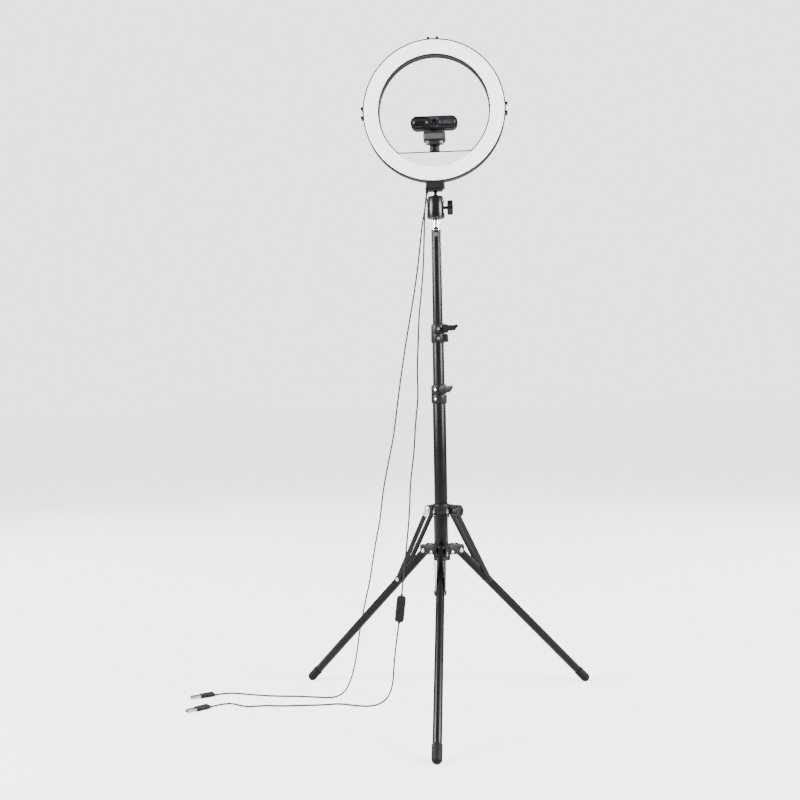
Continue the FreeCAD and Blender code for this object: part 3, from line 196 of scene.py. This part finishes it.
# Each node's finish, and how far its outer edges are eased, in mm. At 0 the CAD node itself
# is shown in its finish.
FINISHES = {
    powder_coat: {"lower_tube": 0.25, "middle_tube": 0.25, "top_tube": 0.25, "front_leg": 0.2,
                  "right_leg": 0.2, "left_leg": 0.2},
    nylon: {"lower_crown": 0.5, "upper_crown": 0.5, "crown_lock_knob": 0.4,
            "lower_clamp": 0.5, "upper_clamp": 0.5, "lower_clamp_lever": 0.6,
            "upper_clamp_lever": 0.6, "neck_block": 0.4},
    anodised: {"ball_housing": 0.35, "ball_lock_knob": 0.4, "cold_shoes": 0.2},
    satin_abs: {"ring_back_shell": 0.35, "controller_front": 0.2, "controller_back": 0.2,
                "dim_button": 0.25, "mode_button": 0.25, "power_button": 0.25},
    soft_touch: {"webcam_case": 0.5, "clip_foot": 0.4, "clip_jaw": 0.3},
    window_black: {"webcam_front_panel": 0.1, "lens_barrel": 0.15},
    strip_grey: {"lens_bezel": 0.2},
    pad_grey: {"clip_pads": 0.2},
    rubber: {"front_foot": 0.6, "right_foot": 0.6, "left_foot": 0.6, "lead_boots": 0.3},
    opal: {"ring_diffuser": 0.3},
    white_panel: {"fill_panel": 0.3},
    nickel: {"spigot": 0.25, "spigot_screw": 0.25},
    zinc: {"leg_pins_and_rivets": 0.3, "strut_pins": 0.3, "lower_clamp_screws": 0.25,
           "upper_clamp_screws": 0.25, "ring_screws": 0.25, "camera_stud": 0.2},
    black_oxide: {"ball_and_stud": 0.2, "camera_nut": 0.15, "clip_hinge_pins": 0.15},
    coated_glass: {"lens_glass": 0},
    solder_mask: {"light_board": 0, "controller_board": 0, "sensor_board": 0},
    natural_nylon: {"middle_tube_bush": 0, "top_tube_bush": 0, "ball_cup": 0},
}


# ---- hard pieces, with their edges eased ----
def deselect():
    bpy.ops.object.select_all(action="DESELECT")


def picked(piece):
    deselect()
    piece.select_set(True)
    bpy.context.view_layer.objects.active = piece


def dress(piece, material):
    piece.data.materials.clear()
    piece.data.materials.append(material)


# Corners this near are one. Faces that meet more flatly than FLAT become one face, and edges
# more sharply than SHARP are rounded. What bends less than SMOOTH is shaded as one surface.
WELD = 0.002 * MM
FLAT = math.radians(0.5)
SHARP = math.radians(40)
SMOOTH = math.radians(32)


def round_edges(piece, edge_mm):
    """Rounds the sharp edges of the picked piece a little, and shades it smooth."""
    rounding = piece.modifiers.new("eased_edges", "BEVEL")
    rounding.width = edge_mm * MM
    rounding.segments = 2
    rounding.limit_method = "ANGLE"
    rounding.angle_limit = SHARP
    rounding.use_clamp_overlap = True
    bpy.ops.object.modifier_apply(modifier=rounding.name)
    bpy.ops.object.shade_smooth_by_angle(angle=SMOOTH)


def eased(node, edge_mm, material, rides=True):
    """A copy of a node with welded faces and its sharp edges rounded a little."""
    copy = nodes[node].copy()
    copy.data = nodes[node].data.copy()
    copy.name = node + "_finished"
    copy.parent = None
    for key in list(copy.keys()):
        del copy[key]
    bpy.context.scene.collection.objects.link(copy)
    picked(copy)
    bpy.ops.mesh.customdata_custom_splitnormals_clear()
    bpy.ops.object.mode_set(mode="EDIT")
    bpy.ops.mesh.select_all(action="SELECT")
    bpy.ops.mesh.remove_doubles(threshold=WELD)
    bpy.ops.mesh.dissolve_limited(angle_limit=FLAT)
    bpy.ops.object.mode_set(mode="OBJECT")
    round_edges(copy, edge_mm)
    dress(copy, material)
    if rides:
        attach(copy, body_of[node])
        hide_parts(node)
    return copy


for material, pieces in FINISHES.items():
    for node, edge_mm in pieces.items():
        if edge_mm:
            eased(node, edge_mm, material)
        else:
            dress(nodes[node], material)


# Which way each leg points from the column, in degrees from +X.
LEG_AZIMUTHS = {"front": -90, "right": 30, "left": 150}
COLUMN = sum(box_of("lower_tube"), Vector()) / 2
# A strut's outermost faces, to this depth, are its bright rivet heads.
RIVET_DEPTH = 1.2 * MM


def strut(side, azimuth):
    """Two painted flat bars, and the bright rivet heads that stand out of them."""
    node = side + "_strut"
    whole = eased(node, 0.2, black_bar, rides=False)
    whole.data.materials.append(zinc)
    across = Vector((-math.sin(math.radians(azimuth)), math.cos(math.radians(azimuth)), 0))
    aside = [abs((face.center - COLUMN).dot(across)) for face in whole.data.polygons]
    for face, distance in zip(whole.data.polygons, aside):
        face.material_index = int(distance > max(aside) - RIVET_DEPTH)
    picked(whole)
    bpy.ops.mesh.separate(type="MATERIAL")
    for piece in list(bpy.context.selected_objects):
        is_rivet = piece.data.materials[0] == zinc
        piece.name = node + ("_rivets" if is_rivet else "_bars")
        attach(piece, body_of[node])
        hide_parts(node)


for side, azimuth in LEG_AZIMUTHS.items():
    strut(side, azimuth)


# ---- leads ----
# Corner points of each lead's centreline, in metres: the webcam's from the neck to its plug,
# and the lamp's from the neck to the controller and from there to its plug.
WEBCAM_LEAD = [
    (-0.0162, 0.08535, 0.971), (-0.0182, 0.08615, 0.961), (-0.021, 0.08795, 0.943),
    (-0.0256, 0.09155, 0.921), (-0.031, 0.09725, 0.884), (-0.037, 0.10575, 0.838),
    (-0.045, 0.11475, 0.79), (-0.0555, 0.12425, 0.738), (-0.067, 0.13375, 0.68),
    (-0.077, 0.14075, 0.622), (-0.086, 0.14725, 0.564), (-0.094, 0.15375, 0.508),
    (-0.107, 0.16075, 0.452), (-0.119, 0.16775, 0.396), (-0.126, 0.17475, 0.34),
    (-0.139, 0.18275, 0.284), (-0.149, 0.19075, 0.224), (-0.162, 0.19775, 0.17),
    (-0.174, 0.19775, 0.115), (-0.179, 0.17475, 0.064), (-0.185, 0.14275, 0.03),
    (-0.197, 0.11975, 0.008), (-0.216, 0.10975, 0.0017), (-0.245, 0.11175, 0.0017),
    (-0.284, 0.11875, 0.0017), (-0.328, 0.11775, 0.0017), (-0.372, 0.12475, 0.0017),
    (-0.414, 0.13675, 0.0017), (-0.438, 0.13675, 0.0017), (-0.452, 0.12775, 0.0017),
]
LAMP_LEAD = [
    (-0.0162, 0.07675, 0.971), (-0.0184, 0.07675, 0.96), (-0.0204, 0.07755, 0.94),
    (-0.0216, 0.07875, 0.915), (-0.0234, 0.07975, 0.878), (-0.0254, 0.08015, 0.832),
    (-0.0296, 0.08035, 0.786), (-0.0356, 0.08035, 0.738), (-0.0376, 0.08075, 0.69),
    (-0.041, 0.08115, 0.636), (-0.0396, 0.08155, 0.584), (-0.0462, 0.08195, 0.532),
    (-0.0494, 0.08235, 0.478), (-0.058, 0.08315, 0.42), (-0.0604, 0.08475, 0.362),
    (-0.0666, 0.08715, 0.308), (-0.072, 0.08975, 0.262), (-0.0765, 0.09175, 0.226),
    (-0.0786, 0.09275, 0.207),
]
LAMP_LEAD_END = [
    (-0.0858, 0.09585, 0.148), (-0.0886, 0.09695, 0.131), (-0.0935, 0.09915, 0.098),
    (-0.0976, 0.10235, 0.062), (-0.1, 0.10335, 0.03), (-0.108, 0.09475, 0.008),
    (-0.121, 0.07075, 0.0017), (-0.142, 0.05375, 0.0017), (-0.172, 0.06075, 0.0017),
    (-0.2, 0.07175, 0.0017), (-0.232, 0.06175, 0.0017), (-0.27, 0.05875, 0.0017),
    (-0.306, 0.05375, 0.0017), (-0.344, 0.05675, 0.0017), (-0.376, 0.04575, 0.0017),
    (-0.408, 0.07075, 0.0017), (-0.43, 0.06075, 0.0017), (-0.442, 0.04875, 0.0017),
]
# Where each length of a lead ends, after which corner, the body below and the body above
# the joint that it crosses, and the heights between which it turns from one to the other.
WEBCAM_LENGTHS = [
    (2, "ball", "head", 0.953, 0.970), (4, "ball_body", "ball", 0.866, 0.930),
    (5, "top_mast", "ball_body", 0.816, 0.859), (12, "middle_mast", "top_mast", 0.43, 0.81),
    (None, "stand", "middle_mast", 0.07, 0.42),
]
LAMP_LENGTHS = [
    (2, "ball", "head", 0.952, 0.970), (4, "ball_body", "ball", 0.860, 0.925),
    (5, "top_mast", "ball_body", 0.811, 0.853), (12, "middle_mast", "top_mast", 0.455, 0.805),
    (None, "stand", "middle_mast", 0.215, 0.445),
]
LEAD_THICK = 3.0 * MM
# What bends less than this round the jacket is shaded as one surface.
JACKET_SMOOTH = math.radians(50)


def lead_length(name, corners):
    """A cord of PVC along a smooth curve, and the points that its centre follows."""
    curve = bpy.data.curves.new(name, "CURVE")
    curve.dimensions = "3D"
    curve.resolution_u = 10
    line = curve.splines.new("NURBS")
    line.points.add(len(corners) - 1)
    for point, corner in zip(line.points, corners):
        point.co = (*corner, 1)
    line.order_u = 3
    line.use_endpoint_u = True
    piece = bpy.data.objects.new(name, curve)
    bpy.context.scene.collection.objects.link(piece)
    bare = bpy.data.meshes.new_from_object(piece)
    path = [tuple(vertex.co) for vertex in bare.vertices]
    bpy.data.meshes.remove(bare)
    curve.bevel_depth = LEAD_THICK / 2
    curve.bevel_resolution = 4
    curve.use_fill_caps = True
    picked(piece)
    bpy.ops.object.convert(target="MESH")
    piece = bpy.context.object
    bpy.ops.object.shade_smooth_by_angle(angle=JACKET_SMOOTH)
    dress(piece, pvc)
    return piece, path


def hung_lead(name, node, corners, lengths):
    """A lead in lengths, each ending midway between two corners, where the next one starts."""
    start = corners[0]
    first = 0
    for i, (last, below, above, low, high) in enumerate(lengths, 1):
        ending = last is None
        stop = len(corners) if ending else last + 1
        own = corners[first + 1 if i == 1 else first:stop]
        meeting = corners[-1] if ending else tuple(
            (a + b) / 2 for a, b in zip(corners[last], corners[last + 1]))
        run = [start, *own] if ending else [start, *own, meeting]
        piece, path = lead_length(f"{name}_{i}", run)
        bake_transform(piece)
        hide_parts(node)
        start = meeting
        first = stop


# The plated shells lie wholly below this height, and the webcam's plug beyond this Y.
SHELL_TOP = 6.5 * MM
BETWEEN_PLUGS = 60 * MM


def plugs():
    """The two plugs, each a moulded grip with a plated shell."""
    eased("usb_plugs", 0.4, satin_abs, rides=False)
    bpy.ops.object.mode_set(mode="EDIT")
    bpy.ops.mesh.separate(type="LOOSE")
    bpy.ops.object.mode_set(mode="OBJECT")
    grips_and_shells = list(bpy.context.selected_objects)
    for part in grips_and_shells:
        if max(vertex.co.z for vertex in part.data.vertices) < SHELL_TOP:
            dress(part, zinc)
    behind = [part for part in grips_and_shells
              if part.data.vertices[0].co.y > BETWEEN_PLUGS]
    in_front = [part for part in grips_and_shells if part not in behind]
    for name, parts in (("webcam_plug", behind), ("lamp_plug", in_front)):
        deselect()
        for part in parts:
            part.select_set(True)
        bpy.context.view_layer.objects.active = parts[0]
        bpy.ops.object.join()
        whole = bpy.context.object
        whole.name = name
        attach(whole, "stand")
        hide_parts("usb_plugs")
    return bpy.data.objects["webcam_plug"], bpy.data.objects["lamp_plug"]


webcam_plug, lamp_plug = plugs()
hung_lead("webcam_lead_length", "webcam_lead", WEBCAM_LEAD, WEBCAM_LENGTHS)
hung_lead("lamp_lead_length", "lamp_lead", LAMP_LEAD, LAMP_LENGTHS)
lamp_end, lamp_path = lead_length("lamp_lead_end", LAMP_LEAD_END)
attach(lamp_end, "stand")
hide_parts("lamp_lead")


# ---- small fitted pieces ----
# Two ends of an edge closer than this along an axis share that place.
SAME = 0.0001 * MM


def plate(name, low, high, round_mm, corners, material, body, edge_mm):
    """A thin plate facing -Y between two corners in mm, with the corners asked for rounded."""
    deselect()
    middle = [(a + b) / 2 * MM for a, b in zip(low, high)]
    wide = [(b - a) * MM for a, b in zip(low, high)]
    bpy.ops.mesh.primitive_cube_add(size=1, location=middle, scale=wide)
    piece = bpy.context.object
    piece.name = name
    bpy.ops.object.transform_apply(location=True, rotation=False, scale=True)
    for edge in piece.data.edges:
        a, b = (piece.data.vertices[i].co for i in edge.vertices)
        along = abs(a.x - b.x) < SAME and abs(a.z - b.z) < SAME
        edge.select = along and corners(a.x / MM, a.z / MM)
    bpy.ops.object.mode_set(mode="EDIT")
    bpy.ops.mesh.select_mode(type="EDGE")
    bpy.ops.mesh.bevel(offset=round_mm * MM, segments=10, affect="EDGES")
    bpy.ops.object.mode_set(mode="OBJECT")
    round_edges(piece, edge_mm)
    dress(piece, material)
    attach(piece, body)


# The window fills the panel's left, past the lens, and the strip its right. Both stand proud
# of the panel and reach a little into it.
FACE_Y = box_of("webcam_front_panel")[0].y / MM
LENS_Z = sum(box_of("lens_glass"), Vector()).z / 2 / MM
LENS_ROOM = 9.4
PROUD = 0.25
SUNK = 0.3
WINDOW_END = 42.2
WINDOW_HALF = 9.6
WINDOW_ROUND = 9.5
STRIP_END = 41.0
STRIP_HALF = 4.6
STRIP_ROUND = 4.5
plate("webcam_window", (-WINDOW_END, FACE_Y - PROUD, LENS_Z - WINDOW_HALF),
      (-LENS_ROOM, FACE_Y + SUNK, LENS_Z + WINDOW_HALF), WINDOW_ROUND,
      lambda x, z: x < -LENS_ROOM - 1, window_black, "webcam", edge_mm=0.12)
plate("webcam_strip", (LENS_ROOM, FACE_Y - PROUD, LENS_Z - STRIP_HALF),
      (STRIP_END, FACE_Y + SUNK, LENS_Z + STRIP_HALF), STRIP_ROUND,
      lambda x, z: x > LENS_ROOM + 1, strip_grey, "webcam", edge_mm=0.12)

# The painted face on the front of the clip's jaw.
JAW_HALF = 18.8
JAW_FRONT = COLUMN.y / MM - 13.3
JAW_FACE_THICK = 0.5
JAW_FACE_LOW = 1069.4
JAW_FACE_HIGH = 1080.6
JAW_ROUND = 1.8
plate("jaw_face", (-JAW_HALF, JAW_FRONT, JAW_FACE_LOW),
      (JAW_HALF, JAW_FRONT + JAW_FACE_THICK, JAW_FACE_HIGH), JAW_ROUND,
      lambda x, z: True, jaw_grey, "clip_block",
      edge_mm=0.15)


# ---- studio ----
FLOOR_SIZE = 60
# Strength of the floor's own glow and of the sky, for the camera and for everything else.
FLOOR_SEEN = 2.3
FLOOR_ELSE = 0.0
SKY_SEEN = 2.7
SKY_ELSE = 0.45
# Where each softbox stands, its width in metres and its power in watts.
SOFTBOXES = {
    "left_softbox": ((-2.9, -1.4, 2.0), 1.4, 400),
    "right_softbox": ((2.9, -1.2, 1.8), 1.4, 380),
    "rear_right_softbox": ((2.4, 2.6, 2.2), 1.2, 150),
    "rear_left_softbox": ((-2.6, 2.6, 2.2), 1.2, 150),
}
LIGHT_AIM = Vector((0, 0, 0.8))


def strength(owner, seen, otherwise):
    """One strength for what the camera sees and another for all other light."""
    path = add(owner, "LightPath", {})
    level = add(owner, "MapRange", {"Value": path.outputs["Is Camera Ray"],
                                    "To Min": otherwise, "To Max": seen})
    return level.outputs["Result"]


def floor():
    """A matt pale floor that glows to the camera, so that it reads as clean white."""
    deselect()
    bpy.ops.mesh.primitive_plane_add(size=FLOOR_SIZE, location=(0, 8, 0))
    plane = bpy.context.object
    plane.name = "studio_floor"
    white = new_material("matt_white_sweep")
    matt = add(white, "BsdfPrincipled", {"Base Color": linear("#C3C5C8"), "Roughness": 0.9})
    glow = add(white, "Emission", {"Color": linear("#FFFFFF"),
                                   "Strength": strength(white, FLOOR_SEEN, FLOOR_ELSE)})
    both = add(white, "AddShader", {0: matt.outputs["BSDF"], 1: glow.outputs["Emission"]})
    dress(plane, close(white, both))


def sky():
    world = bpy.context.scene.world or bpy.data.worlds.new("studio")
    bpy.context.scene.world = world
    world.use_nodes = True
    light = world.node_tree.nodes["Background"]
    light.inputs["Color"].default_value = (1, 1, 1, 1)
    world.node_tree.links.new(strength(world, SKY_SEEN, SKY_ELSE), light.inputs["Strength"])


def softboxes():
    for name, (place, wide, power) in SOFTBOXES.items():
        light = bpy.data.lights.new(name, "AREA")
        light.size = wide
        light.energy = power
        lamp = bpy.data.objects.new(name, light)
        lamp.location = place
        lamp.visible_camera = False
        lamp.rotation_euler = (LIGHT_AIM - Vector(place)).to_track_quat("-Z", "Y").to_euler()
        bpy.context.scene.collection.objects.link(lamp)


LENS_MM = 46.7
SENSOR_MM = 36
CAMERA_PLACE = (0.084, -1.889, 0.5854)
CAMERA_YAW = math.radians(4.603)
CAMERA_PITCH = math.radians(-0.202)
CAMERA_ROLL = math.radians(-1.033)


def camera():
    lens = bpy.data.cameras.new("camera")
    lens.lens = LENS_MM
    lens.sensor_width = SENSOR_MM
    made = bpy.data.objects.new("camera", lens)
    bpy.context.scene.collection.objects.link(made)
    made.matrix_world = (Matrix.Translation(CAMERA_PLACE)
                         @ Matrix.Rotation(CAMERA_YAW, 4, "Z")
                         @ Matrix.Rotation(math.radians(90) + CAMERA_PITCH, 4, "X")
                         @ Matrix.Rotation(CAMERA_ROLL, 4, "Z"))
    bpy.context.scene.camera = made


floor()
sky()
softboxes()
camera()
